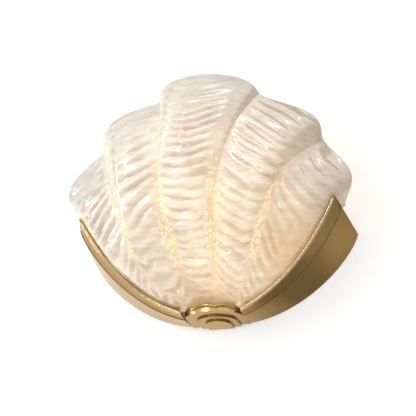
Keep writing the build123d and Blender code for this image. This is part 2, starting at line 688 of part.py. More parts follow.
def make_bulb_parts():
    tip_low = bulb_bottom()
    tip_high = tip_low + TIP_HEIGHT
    cap_low = tip_high + INSULATOR_HEIGHT
    cap_high = cap_low + CAP_HEIGHT
    ball = tip_low + BULB_LENGTH - BULB_RADIUS
    tip = upright(HOLDER_X, HOLDER_DEPTH, tip_low, TIP_RADIUS, TIP_HEIGHT)
    tip = fillet(tip.edges().group_by(Axis.Z)[0], TIP_ROUND)
    insulator = Pos(at(HOLDER_X, HOLDER_DEPTH, tip_high)) * Cone(
        TIP_RADIUS + TIP_SEAT, CAP_RADIUS - CAP_WALL, INSULATOR_HEIGHT,
        align=(Align.CENTER, Align.CENTER, Align.MIN),
    )
    cap = upright(HOLDER_X, HOLDER_DEPTH, cap_low, CAP_RADIUS, CAP_HEIGHT)
    neck = CAP_RADIUS - CAP_WALL
    cap = cap - upright(HOLDER_X, HOLDER_DEPTH, cap_low + CAP_FLOOR, neck, CAP_HEIGHT)
    neck_low = cap_low + BULB_NECK_RISE

    def envelope(shrink, bottom):
        radius = BULB_RADIUS - shrink
        shoulder = radius * BULB_SHOULDER_SHARE
        shoulder_z = ball - (radius**2 - shoulder**2) ** 0.5
        inner_neck = neck - shrink
        return spun(
            Line((0, bottom), (inner_neck, bottom)),
            Line((inner_neck, bottom), (inner_neck, cap_high)),
            Spline(
                [(inner_neck, cap_high), (shoulder, shoulder_z)],
                tangents=[(0, 1), (-(shoulder_z - ball) / radius, shoulder / radius)],
            ),
            ThreePointArc((shoulder, shoulder_z), (radius, ball), (0, ball + radius)),
            Line((0, ball + radius), (0, bottom)),
        )

    glass = envelope(0, neck_low) - envelope(BULB_GLASS, neck_low - CUT_MARGIN)
    stem_low = cap_low + CAP_FLOOR
    stem_high = ball - FILAMENT_LENGTH / 2
    stem = upright(HOLDER_X, HOLDER_DEPTH, stem_low, STEM_RADIUS, stem_high - stem_low)
    filaments = upright(HOLDER_X, HOLDER_DEPTH, stem_high, SPOKE_HUB_RADIUS, SPOKE_HUB_HEIGHT)
    for quarter in range(4):
        angle = pi / 4 + quarter * pi / 2
        x, depth = FILAMENT_RING * cos(angle), FILAMENT_RING * sin(angle)
        rod = upright(HOLDER_X + x, HOLDER_DEPTH + depth, stem_high, FILAMENT_RADIUS, FILAMENT_LENGTH)
        hub = Pos(at(HOLDER_X, HOLDER_DEPTH, stem_high + SPOKE_HUB_HEIGHT / 2))
        hub = hub * Rot(0, 0, -degrees(angle)) * Rot(0, 90, 0)
        spoke = hub * Cylinder(SPOKE_RADIUS, FILAMENT_RING, align=(Align.CENTER, Align.CENTER, Align.MIN))
        filaments = filaments + rod + spoke
    return {
        "bulb_tip_contact": tip,
        "bulb_insulator": insulator,
        "bulb_cap": cap,
        "bulb_envelope": glass,
        "bulb_stem": stem,
        "bulb_filaments": filaments,
    }


# ---------------------------------------------------------------- supply and earth


def pole_places():
    first = TERMINAL_X - TERMINAL_PITCH * (TERMINAL_POLES - 1) / 2
    return [first + TERMINAL_PITCH * k for k in range(TERMINAL_POLES)]


def terminal_screw_places():
    poles = pole_places()
    return [(a + b) / 2 for a, b in zip(poles, poles[1:])]


def make_terminal_block():
    half = TERMINAL_PITCH * TERMINAL_POLES / 2
    low, high = TERMINAL_Z - TERMINAL_LENGTH / 2, TERMINAL_Z + TERMINAL_LENGTH / 2
    body = block(
        TERMINAL_X - half, TERMINAL_X + half, PLATE_THICKNESS, PLATE_THICKNESS + TERMINAL_DEPTH, low, high
    )
    body = chamfer(body.edges().filter_by(Axis.X).group_by(Axis.Y)[0], TERMINAL_CHAMFER)
    for x in pole_places():
        bore = TERMINAL_BORE + CLAMP_WALL + THREAD_CLEARANCE
        length = TERMINAL_LENGTH + 2 * CUT_MARGIN
        body = body - upright(x, TERMINAL_BORE_DEPTH, low - CUT_MARGIN, bore, length)
        for z in (TERMINAL_Z - TERMINAL_SCREW_SPREAD, TERMINAL_Z + TERMINAL_SCREW_SPREAD):
            body = body - outward(x, TERMINAL_BORE_DEPTH, z, SCREW_WELL_RADIUS, TERMINAL_DEPTH)
    for x in terminal_screw_places():
        body = body - outward(x, 0, TERMINAL_Z, M3_RADIUS + FIXING_CLEARANCE, DRILL_LENGTH)
    return body


def make_clamps():
    clamps = []
    for x in pole_places():
        length = TERMINAL_LENGTH - 2 * CLAMP_SETBACK
        low = TERMINAL_Z - length / 2
        tube = upright(x, TERMINAL_BORE_DEPTH, low, TERMINAL_BORE + CLAMP_WALL, length)
        bore = upright(x, TERMINAL_BORE_DEPTH, low - CUT_MARGIN, TERMINAL_BORE, length + 2 * CUT_MARGIN)
        tube = tube - bore
        for z in (TERMINAL_Z - TERMINAL_SCREW_SPREAD, TERMINAL_Z + TERMINAL_SCREW_SPREAD):
            hole = outward(x, TERMINAL_BORE_DEPTH, z, M3_RADIUS + THREAD_CLEARANCE, TERMINAL_DEPTH)
            tube = tube - hole
        clamps.append(tube)
    return Compound(clamps)


def make_clamp_screws():
    screws = []
    for x in pole_places():
        for z in (TERMINAL_Z - TERMINAL_SCREW_SPREAD, TERMINAL_Z + TERMINAL_SCREW_SPREAD):
            low = TERMINAL_BORE_DEPTH + WIRE_RADIUS + CLAMP_SCREW_GAP
            high = low + CLAMP_SCREW_LENGTH
            screw = outward(x, low, z, M3_RADIUS, CLAMP_SCREW_LENGTH)
            slot = block(
                x - M3_RADIUS, x + M3_RADIUS, high - DRIVER_SLOT_DEPTH, high + CUT_MARGIN,
                z - CLAMP_SLOT_WIDTH / 2, z + CLAMP_SLOT_WIDTH / 2,
            )
            screws.append(screw - slot)
    return Compound(screws)


def make_wire(*points):
    """A wire along straight runs joined by arcs as large as the runs allow."""
    route = [at(*point) for point in points]
    radii = []
    for before, here, after in zip(route, route[1:], route[2:]):
        turn = (here - before).get_angle(after - here)
        shorter = min((here - before).length, (after - here).length)
        radii.append(BEND_SHARE * shorter / (sin(radians(turn / 2)) / cos(radians(turn / 2))))
    print("wire bend radii", [round(radius, 1) for radius in radii])
    path = FilletPolyline(*route, radius=radii)
    profile = Plane(origin=route[0], z_dir=route[1] - route[0]) * Circle(WIRE_RADIUS)
    return sweep(profile, path=path)


def wire_route(start, *offsets):
    """Points at offsets from a start, counted in steps of WIRE_STEP."""
    return [tuple(s + o * WIRE_STEP for s, o in zip(start, offset)) for offset in offsets]


def make_wires():
    earth_pole, neutral_pole, live_pole = pole_places()
    inside = TERMINAL_BORE_DEPTH
    low = TERMINAL_Z
    hole_end = HOLDER_DEPTH - HOLDER_RADIUS + WIRE_HOLE_DEPTH - WIRE_END_GAP
    live_x, neutral_x = HOLDER_X - WIRE_HOLE_SPREAD, HOLDER_X + WIRE_HOLE_SPREAD
    live = make_wire(
        *wire_route((live_pole, inside, low), (0, 0, 0), (0, 0, 1.7), (1.2, 0.2, 2.6), (2.4, 0.3, 1.9)),
        *wire_route((live_x, inside, low), (0, 0.4, 0.7)),
        *wire_route((live_x, inside, WIRE_HOLE_Z), (0, 1.0, 0)),
        (live_x, hole_end, WIRE_HOLE_Z),
    )
    neutral = make_wire(
        *wire_route((neutral_pole, inside, low), (0, 0, 0), (0, 0, 2.0), (1.1, 0.3, 3.4), (2.9, 0.5, 3.2)),
        *wire_route((neutral_x, inside, low), (-0.3, 0.5, 1.7), (0, 0.5, 0.5)),
        *wire_route((neutral_x, inside, WIRE_HOLE_Z), (0, 1.0, 0)),
        (neutral_x, hole_end, WIRE_HOLE_Z),
    )
    earth = make_wire(
        *wire_route((earth_pole, inside, low), (0, 0, 0), (0, 0, 1.7), (0.9, 0, 3.6), (2.7, -0.1, 4.7)),
        *wire_route((EARTH_X, LUG_AXIS_DEPTH, EARTH_Z), (-2.2, 0, 0)),
        (EARTH_X - LUG_TONGUE_LENGTH, LUG_AXIS_DEPTH, EARTH_Z),
    )
    return {"live_wire": live, "neutral_wire": neutral, "earth_wire": earth}


def make_lug():
    ring = outward(EARTH_X, PLATE_THICKNESS, EARTH_Z, LUG_RING_RADIUS, LUG_THICKNESS)
    tongue = block(
        EARTH_X - LUG_TONGUE_LENGTH, EARTH_X, PLATE_THICKNESS, PLATE_THICKNESS + LUG_THICKNESS,
        EARTH_Z - LUG_BARREL_RADIUS, EARTH_Z + LUG_BARREL_RADIUS,
    )
    barrel = Pos(at(EARTH_X - LUG_BARREL_START, LUG_AXIS_DEPTH, EARTH_Z)) * Rot(0, 90, 0)
    base = (Align.CENTER, Align.CENTER, Align.MIN)
    sleeve = barrel * Cylinder(LUG_BARREL_RADIUS, LUG_BARREL_LENGTH, align=base)
    bore = barrel * Cylinder(WIRE_RADIUS + THREAD_CLEARANCE, DRILL_LENGTH, align=base)
    hole = outward(EARTH_X, 0, EARTH_Z, M4_RADIUS + HOLE_CLEARANCE, DRILL_LENGTH)
    return ring + tongue + sleeve - bore - hole


def make_washer():
    low = PLATE_THICKNESS + LUG_THICKNESS
    disc = outward(EARTH_X, low, EARTH_Z, LUG_RING_RADIUS, WASHER_THICKNESS)
    return disc - outward(EARTH_X, 0, EARTH_Z, M4_RADIUS + HOLE_CLEARANCE, DRILL_LENGTH)


def make_grommet():
    flange = outward(ENTRY_X, PLATE_THICKNESS, ENTRY_Z, GROMMET_FLANGE, GROMMET_LIP)
    flange = fillet(flange.edges().sort_by(Axis.Y)[0], GROMMET_ROUND)
    body = outward(ENTRY_X, SCREW_END_SETBACK, ENTRY_Z, GROMMET_RADIUS - THREAD_CLEARANCE, PLATE_THICKNESS)
    return flange + body - outward(ENTRY_X, -CUT_MARGIN, ENTRY_Z, GROMMET_BORE, DRILL_LENGTH)


# ---------------------------------------------------------------- shade pads


def make_pads(shade, wings):
    """Soft bumpers that stand inward from the wings' bezels, behind the shade's side edges."""
    pads = []
    for side, wing in wings:
        for t in PAD_STATIONS:
            _, bezel, _, on_bezel = wing_frame(t, side)
            start = on_bezel(bezel * PAD_SHARE, CREASE_STEP + WING_SHEET / 2)
            inward = inward_of_lip(t, side)
            pad = Plane(origin=start, z_dir=inward) * Cylinder(
                PAD_RADIUS, PAD_LENGTH, align=(Align.CENTER, Align.CENTER, Align.MIN)
            )
            for cut in (shade, Pos(at(0, -PAD_GAP, 0)) * shade, Pos(inward * PAD_SEAT_GAP) * wing):
                pad = pad - cut
            pads.append(max(pad.solids(), key=lambda piece: piece.volume))
    return Compound(pads)


# ---------------------------------------------------------------- assembly

shade = make_shade()
right_wing, left_wing = make_wing(1), make_wing(-1)
ear_holes = [wing_ear(t, side)[1] for side in (1, -1) for t in EAR_STATIONS]
ear_seat = PLATE_THICKNESS + EAR_THICKNESS
bracket_seat = PLATE_THICKNESS + BRACKET_THICKNESS
earth_seat = PLATE_THICKNESS + LUG_THICKNESS + WASHER_THICKNESS


def m4_screw(x, z, seat):
    return slotted_screw(x, seat, z, M4_RADIUS, M4_HEAD_RADIUS, M4_HEAD_HEIGHT, seat - SCREW_END_SETBACK)


nodes = {
    "glass_shell": shade,
    "right_wing": right_wing,
    "left_wing": left_wing,
    "centre_boss": make_boss(),
    "wall_plate": make_plate(ear_holes),
    "wing_screws": Compound([m4_screw(p.X, p.Z, ear_seat) for p in ear_holes]),
    "boss_screws": Compound([m4_screw(x, z, ear_seat) for x, z in boss_screw_places()]),
    "shade_pads": make_pads(shade, ((1, right_wing), (-1, left_wing))),
    "holder_bracket": make_bracket(),
    "bracket_screws": Compound([m4_screw(x, z, bracket_seat) for x, z in bracket_screw_places()]),
    "lamp_holder": make_holder(),
    "socket_shell": make_socket_shell(),
    "socket_contact": make_contact(),
    "holder_nipple": make_nipple(),
    "holder_locknut": make_locknut(),
    "terminal_block": make_terminal_block(),
    "terminal_clamps": make_clamps(),
    "terminal_clamp_screws": make_clamp_screws(),
    "terminal_fixing_screws": Compound([
        slotted_screw(
            x, PLATE_THICKNESS + TERMINAL_DEPTH, TERMINAL_Z,
            M3_RADIUS, M3_HEAD_RADIUS, M3_HEAD_HEIGHT, PLATE_THICKNESS + TERMINAL_DEPTH - SCREW_END_SETBACK,
        )
        for x in terminal_screw_places()
    ]),
    "cable_grommet": make_grommet(),
    "earth_lug": make_lug(),
    "earth_washer": make_washer(),
    "earth_screw": m4_screw(EARTH_X, EARTH_Z, earth_seat),
}
nodes.update(make_bulb_parts())
nodes.update(make_wires())

for name, solid in nodes.items():
    export_step(solid, f"parts/{name}.step")
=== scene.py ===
import json
from itertools import product
from math import cos, pi, sin

import bmesh
import bpy
import numpy as np
from mathutils import Matrix, Vector, noise


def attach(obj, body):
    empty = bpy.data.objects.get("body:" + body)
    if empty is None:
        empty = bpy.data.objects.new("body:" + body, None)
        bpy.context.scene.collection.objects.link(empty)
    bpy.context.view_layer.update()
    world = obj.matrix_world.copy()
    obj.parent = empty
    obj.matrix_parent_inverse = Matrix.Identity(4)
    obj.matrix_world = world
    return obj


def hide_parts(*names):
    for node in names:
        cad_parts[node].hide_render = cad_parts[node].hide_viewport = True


# Shell wall sconce: the finish of every piece, the rippled glass shade with its pearls, the beads
# on the lips, and the studio. Forms are worked out in millimetres, as in the solids, and MM turns
# them into metres. Places and sizes in the finishes and in the studio are metres.
MM = 0.001
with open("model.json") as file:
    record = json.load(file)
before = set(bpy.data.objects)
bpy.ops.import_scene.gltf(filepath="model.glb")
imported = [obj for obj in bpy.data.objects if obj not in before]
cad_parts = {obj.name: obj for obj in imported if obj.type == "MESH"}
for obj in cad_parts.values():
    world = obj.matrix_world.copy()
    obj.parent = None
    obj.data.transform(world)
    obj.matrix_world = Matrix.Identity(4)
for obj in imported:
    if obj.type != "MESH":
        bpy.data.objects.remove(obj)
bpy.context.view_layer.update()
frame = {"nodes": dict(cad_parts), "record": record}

# ---------------------------------------------------------------- the lines that the forms follow

# Cubic curves on the right side, as (x, depth out from the wall, z); the left side mirrors them.
LIP_LINE = ((31.0, 39.5, -10.5), (75.5, 51.0, 6.5), (107.0, 53.5, 38.0), (135.5, 62.0, 92.5))
CREASE_LINE = ((31.0, 28.0, -15.0), (99.0, 40.5, 3.0), (141.0, 45.0, 76.5), (139.5, 49.5, 83.5))
REAR_LINE = ((31.0, 0.0, -15.5), (89.5, 0.0, -8.5), (136.0, 0.0, 40.0), (144.5, 0.0, 68.0))

# The valleys between the ribs, from left to right.
VALLEYS = (
    ((-19.0, 27.0, -5.5), (-83.7, 98.3, 18.8), (-67.8, 125.9, 98.9), (-117.8, 45.6, 173.0)),
    ((-8.0, 30.0, -5.0), (-41.5, 124.1, 64.1), (-25.5, 117.7, 147.4), (-47.7, 59.7, 214.0)),
    ((8.0, 30.0, -5.0), (22.6, 124.6, 68.3), (26.0, 117.1, 146.1), (60.1, 60.0, 209.3)),
    ((19.0, 27.0, -5.5), (74.3, 97.8, 21.4), (65.3, 125.8, 103.6), (124.7, 42.2, 154.3)),
)

# Each rib's bulge at its crest, and how pointed (over 1) or square (under 1) its arch is.
RIBS = 5
BULGES = (
    (-19.8, 10.1, -5.5), (-18.0, 9.5, 3.4), (-3.8, 16.6, 20.3), (23.4, 9.2, -2.6), (18.0, 10.1, -5.0),
)
FULLNESS = (1.42, 1.01, 0.36, 1.45, 1.27)
VALLEY_SOFTNESS = 0.044
MIDDLE_RIB_GROWTH = 0.6
SIDE_RIB_GROWTH = 1.2

# The glass, and how its side edges stand behind the brass lips and flare past their tips.
GLASS_WALL = 5.0
SEAT_GAP = 1.1
EDGE_SETBACK = 6.0
HEEL_LIFT = 6.6
TIP_START = 0.66
TIP_TUCK = {-1: (-2.0, -22.0, -8.9), 1: (-1.8, -22.3, -12.0)}
TIP_FLARE = {-1: (-13.6, 0.0, 17.2), 1: (8.2, -0.2, 9.0)}

# Along the middle of the left lip the edge reaches further under the bead, so that no light slit
# shows between the two: how far, and the shares of the lip over which this sets in and ends.
LIP_COVER = 2.4
LIP_COVER_RISE = (0.42, 0.62)
LIP_COVER_FALL = (0.84, 0.95)

# The shares up the shade over which its side edges leave the lips and become rounded.
EDGE_FREE = (0.62, 0.78)

# The shade's mesh. Points nearer to each other than the weld distance become one.
SHADE_ROWS = 250
RIM_ROWS = 8
RIM_SHARE = 0.012
STEPS_PER_RIB = 40
WELD_DISTANCE = 0.01

# Ripples pressed across the ribs, as arcs round a place (x, z) by the heel, where depth counts
# with the height by a share of its own. Their spacing changes with the reach from that place, and
# each rib spreads it by its own factor.
RIPPLE_CENTRE = (-6.0, -8.0)
RIPPLE_DEPTH_SHARE = 0.25
RIPPLE_REACHES = (0.0, 60.0, 130.0, 190.0, 250.0)
RIPPLE_SPACINGS = (6.6, 9.0, 11.2, 10.0, 6.8)
RIPPLE_SPREADS = (1.2, 1.4, 1.0, 1.12, 1.15)
RIPPLE_LONGEST_REACH = 300
RIPPLE_HEIGHT = 1.45
RIPPLE_INNER_SHARE = 0.35

# How far they sag beside a rib's crest, the reach at which the sag is whole, and how many ripples
# one rib's lines are out of step with the last one's and wander off their place.
RIPPLE_SAG = 12.0
RIPPLE_FULL_SAG_REACH = 120
RIPPLE_STAGGER = 0.37
RIPPLE_WANDER = 0.60

# Where they set in and end across each rib (from, to, from, to), and where they set in and fade
# on the way up it.
MIDDLE_RIB_FLANKS = (0.0, 0.14, 0.74, 0.98)
RIPPLE_FLANKS = (
    (0.20, 0.50, 0.86, 0.99), MIDDLE_RIB_FLANKS, MIDDLE_RIB_FLANKS, MIDDLE_RIB_FLANKS,
    (0.0, 0.14, 0.36, 0.70),
)
RIPPLE_RISE = (0.01, 0.10)
RIPPLE_FADE = (0.70, 0.95)
RIPPLE_FADED_SHARE = 0.66

# Rows of small pearls beside the valleys: from and to, as shares of each valley's length. Two rows
# lie on each side. A pearl strays from its row by up to the drift and along it by up to the slip,
# in spacings. It is left out where its noise lies below the gap value.
PEARL_ROWS = ((0.36, 0.72), (0.16, 0.56), (0.17, 0.58), (0.28, 0.78))
PEARL_SPACING = 3.2
PEARL_RADIUS = 1.12
PEARL_UNEVENNESS = 0.5
PEARL_ASIDES = (1.5, 4.1)
PEARL_LEAST_ASIDE = 0.9
PEARL_DRIFT = 1.5
PEARL_SLIP = 0.8
PEARL_GAP_BELOW = -0.16

# The bead on each wing's front lip: its radius at the heel and at the tip, how far inside the
# bezel its middle lies, the shares of the lip where it starts and ends, and its rings, the last of
# which narrow towards the tip.
BEAD_RADII = (2.3, 2.15)
BEAD_INSET = 1.3
BEAD_ENDS = (0.004, 0.996)
BEAD_RINGS = 240
BEAD_TIP_RINGS = 12
BEAD_SIDES = 48
CREASE_HALVINGS = 30


def at(x, depth, z):
    return np.array((x, -depth, z), float)


def on_line(line, t, side=1):
    """Points of a cubic curve at the shares t; side -1 gives its mirror image."""
    t = np.asarray(t, float)[..., None]
    shares = ((1 - t) ** 3, 3 * (1 - t) ** 2 * t, 3 * (1 - t) * t**2, t**3)
    points = sum(share * at(*point) for share, point in zip(shares, line))
    return points * np.array((side, 1, 1))


def unit(vectors):
    return vectors / np.linalg.norm(vectors, axis=-1, keepdims=True)


def smooth_step(low, high, value):
    """0 up to low, 1 from high on, and a smooth rise between them."""
    share = np.clip((value - low) / (high - low), 0, 1)
    return share * share * (3 - 2 * share)


def noise_at(*place):
    """Smooth noise from -1 to 1."""
    return noise.noise(Vector(place))


def wander(values_a, values_b, seed):
    """Smooth noise from -1 to 1 over two arrays of coordinates."""
    found = [noise_at(a, b, seed) for a, b in zip(np.ravel(values_a), np.ravel(values_b))]
    return np.array(found).reshape(np.shape(values_a))


# ---------------------------------------------------------------- meshes


def grid_faces(rows, columns, start, flipped):
    """The faces of a grid whose first point has the index start."""
    faces = []
    for row, column in product(range(rows - 1), range(columns - 1)):
        a = start + row * columns + column
        quad = (a, a + 1, a + columns + 1, a + columns)
        faces.append(quad[::-1] if flipped else quad)
    return faces


def grid_border(rows, columns):
    """The indices round the border of a grid, in order."""
    bottom = list(range(columns))
    right = [row * columns + columns - 1 for row in range(1, rows)]
    top = [(rows - 1) * columns + column for column in range(columns - 2, -1, -1)]
    left = [row * columns for row in range(rows - 2, 0, -1)]
    return bottom + right + top + left


def linked_object(name, mesh):
    mesh.shade_smooth()
    piece = bpy.data.objects.new(name, mesh)
    bpy.context.scene.collection.objects.link(piece)
    return piece


def mesh_object(name, points, faces):
    """A smooth piece from points in millimetres."""
    mesh = bpy.data.meshes.new(name)
    mesh.from_pydata([tuple(point) for point in points * MM], [], faces)
    mesh.validate()
    mesh.update()
    return linked_object(name, mesh)


def turn_faces_outward(piece, weld_distance=0.0):
    """Turns all faces outward, after joining the points nearer than the weld distance."""
    editing = bmesh.new()
    editing.from_mesh(piece.data)
    if weld_distance:
        bmesh.ops.remove_doubles(editing, verts=editing.verts, dist=weld_distance * MM)
    bmesh.ops.recalc_face_normals(editing, faces=editing.faces)
    editing.to_mesh(piece.data)
    editing.free()
    piece.data.shade_smooth()


def store(piece, name, values):
    """Keeps one number for each point of a mesh, for its material."""
    layer = piece.data.attributes.new(name, "FLOAT", "POINT")
    layer.data.foreach_set("value", np.ravel(values).astype(np.float32))


# ---------------------------------------------------------------- the glass shade


def side_edge(t, side):
    """The shade's side edge: it follows the wing's lip inside, then flares over the tip."""
    ahead = on_line(LIP_LINE, np.minimum(t + 0.01, 1), side)
    behind = on_line(LIP_LINE, np.maximum(t - 0.01, 0), side)
    run = unit((ahead - behind) * np.array((1, 0, 1)))
    inward = np.stack([-run[:, 2], 0 * t, run[:, 0]], -1) * side
    beyond = np.maximum(0, (t - TIP_START) / (1 - TIP_START))[:, None]
    edge = on_line(LIP_LINE, t, side) + inward * SEAT_GAP
    edge = edge + at(0, -EDGE_SETBACK, 0) + at(0, 0, HEEL_LIFT) * (1 - t[:, None]) ** 6
    if side < 0:
        cover = LIP_COVER * smooth_step(*LIP_COVER_RISE, t) * (1 - smooth_step(*LIP_COVER_FALL, t))
        edge = edge - inward * cover[:, None]
    return edge + at(*TIP_TUCK[side]) * beyond**2 + at(*TIP_FLARE[side]) * beyond**6


def rib_borders(t):
    """The lines that the ribs rise between: the left edge, the valleys and the right edge."""
    return [side_edge(t, -1)] + [on_line(valley, t) for valley in VALLEYS] + [side_edge(t, 1)]


def rib_arch(w, fullness):
    """How far a rib stands up between its two valleys, from 0 to 1, with softened valleys."""
    wave = np.hypot(np.sin(pi * w), VALLEY_SOFTNESS) - VALLEY_SOFTNESS
    crest = np.hypot(1, VALLEY_SOFTNESS) - VALLEY_SOFTNESS
    return (np.maximum(wave, 0) / crest) ** fullness


def on_rib(rib, w, t, borders):
    """Points on a rib's outer face, at the share w across it and the shares t up it."""
    growth = t ** (SIDE_RIB_GROWTH if rib in (0, RIBS - 1) else MIDDLE_RIB_GROWTH)
    chord = borders[rib] * (1 - w) + borders[rib + 1] * w
    return chord + at(*BULGES[rib]) * (rib_arch(w, FULLNESS[rib]) * growth)[:, None]


def shade_grid():
    """Places on the shade's outer face, with each one's rib, share across it and share up it."""
    t = np.concatenate([
        np.linspace(0, 1 - RIM_SHARE, SHADE_ROWS),
        1 - RIM_SHARE * (1 - np.sin(np.linspace(0, pi / 2, RIM_ROWS + 1)[1:])),
    ])
    borders = rib_borders(t)
    steps = (1 - np.cos(pi * np.arange(STEPS_PER_RIB) / STEPS_PER_RIB)) / 2
    columns = [*product(range(RIBS), steps), (RIBS - 1, 1.0)]
    points = np.stack([on_rib(rib, w, t, borders) for rib, w in columns], 1)
    ribs = np.tile(np.array([rib for rib, w in columns]), (len(t), 1))
    across = np.tile(np.array([w for rib, w in columns]), (len(t), 1))
    return points, ribs, across, np.tile(t[:, None], (1, len(columns)))


def inward_normals(points):
    return unit(np.cross(np.gradient(points, axis=0), np.gradient(points, axis=1)))


def running_length(points, axis):
    """How far each point of a grid lies from the grid's start, along one of its axes."""
    steps = np.linalg.norm(np.diff(points, axis=axis), axis=-1)
    pad = [(0, 0), (0, 0)]
    pad[axis] = (1, 0)
    return np.pad(np.cumsum(steps, axis=axis), pad)


def border_distance(points, t):
    """How far each point lies from the rim or a free side edge, along the surface.

    Where the side edges stand behind the brass lips they keep their full thickness.
    """
    up, across = running_length(points, 0), running_length(points, 1)
    covered = GLASS_WALL * (1 - smooth_step(*EDGE_FREE, t))
    return np.minimum(np.minimum(across, across[:, -1:] - across) + covered, up[-1:] - up)


def ripple_reach(points, w):
    """How far each point lies from the ripples' centre, less their sag beside a rib's crest."""
    x, y, z = np.moveaxis(points, -1, 0)
    reach = np.hypot(x - RIPPLE_CENTRE[0], z - RIPPLE_DEPTH_SHARE * y - RIPPLE_CENTRE[1])
    return reach - RIPPLE_SAG * (2 * w - 1) ** 2 * np.minimum(1, reach / RIPPLE_FULL_SAG_REACH)


def ripple_strength(reach, ribs, w, t):
    """How strong the ripples are: uneven, gone in the valleys and weaker towards the rim."""
    rise_from, rise_to, fall_from, fall_to = np.moveaxis(np.array(RIPPLE_FLANKS)[ribs], -1, 0)
    flanks = smooth_step(rise_from, rise_to, w) * (1 - smooth_step(fall_from, fall_to, w))
    upward = smooth_step(*RIPPLE_RISE, t) * (1 - RIPPLE_FADED_SHARE * smooth_step(*RIPPLE_FADE, t))
    return (0.85 + 0.8 * wander(w * 1.7 + ribs * 5.1, reach / 24, 4.5)) * flanks * upward


def ripple_field(points, ribs, w, t):
    """The pressed ripples, about -1 to 1: sagging folds across each rib, uneven as in hand work.

    A round wave and a sharper crease make each fold, and fine pleats grow towards the rim.
    """
    reach = ripple_reach(points, w)
    distances = np.linspace(0, RIPPLE_LONGEST_REACH, RIPPLE_LONGEST_REACH + 1)
    count = np.cumsum(1 / np.interp(distances, RIPPLE_REACHES, RIPPLE_SPACINGS))
    drift = wander(w * 1.3 + ribs * 7.3, reach / 42, 2.5)
    drift = drift + 0.45 * wander(w * 3.6 + ribs * 3.1, reach / 16, 8.5)
    phase = np.interp(reach, distances, count) / np.array(RIPPLE_SPREADS)[ribs]
    phase = phase + ribs * RIPPLE_STAGGER + RIPPLE_WANDER * drift
    wave = 0.62 * np.sin(2 * pi * phase)
    crease = 0.42 * (1.6 * np.sqrt(np.sin(pi * phase + 0.6) ** 2 + 0.03) - 1)
    pleats = np.sin(2 * pi * (phase * 2.6 + 0.9 * drift)) * (0.07 + 0.2 * smooth_step(0.72, 0.9, t))
    return (wave + crease + pleats) * ripple_strength(reach, ribs, w, t)


def make_shade():
    """The glass as one closed form: a rippled outer face, a calmer inner face and a round rim."""
    points, ribs, w, t = shade_grid()
    inward = inward_normals(points)
    radius = GLASS_WALL / 2
    near = np.clip(1 - border_distance(points, t) / radius, 0, 1)
    drop = radius * (1 - np.sqrt(np.maximum(0, 1 - near**2)))
    ripple = ripple_field(points, ribs, w, t)
    height = RIPPLE_HEIGHT * ripple * (1 - near)
    outer = points + inward * (drop - height)[..., None]
    inner = points + inward * (GLASS_WALL - drop - RIPPLE_INNER_SHARE * height)[..., None]
    rows, columns = t.shape
    count = rows * columns
    faces = grid_faces(rows, columns, 0, True) + grid_faces(rows, columns, count, False)
    border = grid_border(rows, columns)
    faces += [(a, b, b + count, a + count) for a, b in zip(border, border[1:] + border[:1])]
    both_faces = np.concatenate([outer.reshape(-1, 3), inner.reshape(-1, 3)])
    piece = mesh_object("glass_shade", both_faces, faces)
    store(piece, "share_across", np.concatenate([w.ravel(), w.ravel()]))
    store(piece, "share_up", np.concatenate([t.ravel(), t.ravel()]))
    store(piece, "ripple", np.concatenate([ripple.ravel(), 0.3 * ripple.ravel()]))
    turn_faces_outward(piece, WELD_DISTANCE)
    return piece


# ---------------------------------------------------------------- the pearls in the glass


def beside_valley(rib, side, t, aside):
    """A point on a rib's outer face at t, so far from the valley on its left (1) or right (-1)."""
    t = np.array([t])
    borders = rib_borders(t)
    share = aside / np.linalg.norm(borders[rib + 1] - borders[rib])
    return on_rib(rib, share if side > 0 else 1 - share, t, borders)[0]


def pearls_beside(valley):
    """Yields the centre and the radius of each pearl in the uneven rows along a valley."""
    start, end = PEARL_ROWS[valley]
    path = on_line(VALLEYS[valley], np.linspace(0, 1, 60))
    length = np.linalg.norm(np.diff(path, axis=0), axis=1).sum()
    count = int((end - start) * length / PEARL_SPACING)
    sides = ((valley, -1), (valley + 1, 1))
    for k, (rib, side), (row, row_aside) in product(range(count), sides, enumerate(PEARL_ASIDES)):
        seed = valley * 9.1 + side * 3.7 + row * 5.3
        if noise_at(k * 0.83, seed, 1.5) < PEARL_GAP_BELOW:
            continue
        along = k + 0.5 + 0.5 * row + PEARL_SLIP * noise_at(k * 2.3, seed, 4.5)
        t = start + (end - start) * along / count
        aside = max(row_aside + PEARL_DRIFT * noise_at(k * 1.3, seed, 8.5), PEARL_LEAST_ASIDE)
        radius = PEARL_RADIUS * (1 + PEARL_UNEVENNESS * noise_at(k * 1.7, seed, 2.5))
        yield beside_valley(rib, side, t, aside), radius


def make_pearls():
    """Small half-sunk pearls of glass on both sides of each valley."""
    editing = bmesh.new()
    for valley in range(len(VALLEYS)):
        for centre, radius in pearls_beside(valley):
            place = Matrix.Translation(centre * MM)
            bmesh.ops.create_icosphere(editing, subdivisions=2, radius=radius * MM, matrix=place)
    mesh = bpy.data.meshes.new("pearl_rows")
    editing.to_mesh(mesh)
    editing.free()
    return linked_object("pearl_rows", mesh)


# ---------------------------------------------------------------- the polished lip beads


def crease_at(t, side):
    """The crease beside the lip and the rear edge at t, found as in the solids."""

    def beyond_plane(share, station):
        rear, lip = on_line(REAR_LINE, station, side), on_line(LIP_LINE, station, side)
        square = unit(np.array((lip[2] - rear[2], 0, rear[0] - lip[0]))) * side
        return (on_line(CREASE_LINE, share, side) - rear) @ square

    wanted = t * beyond_plane(1.0, 1.0)
    low, high = 0.0, 1.0
    for _ in range(CREASE_HALVINGS):
        middle = (low + high) / 2
        low, high = (middle, high) if beyond_plane(middle, t) < wanted else (low, middle)
    return on_line(CREASE_LINE, low, side)


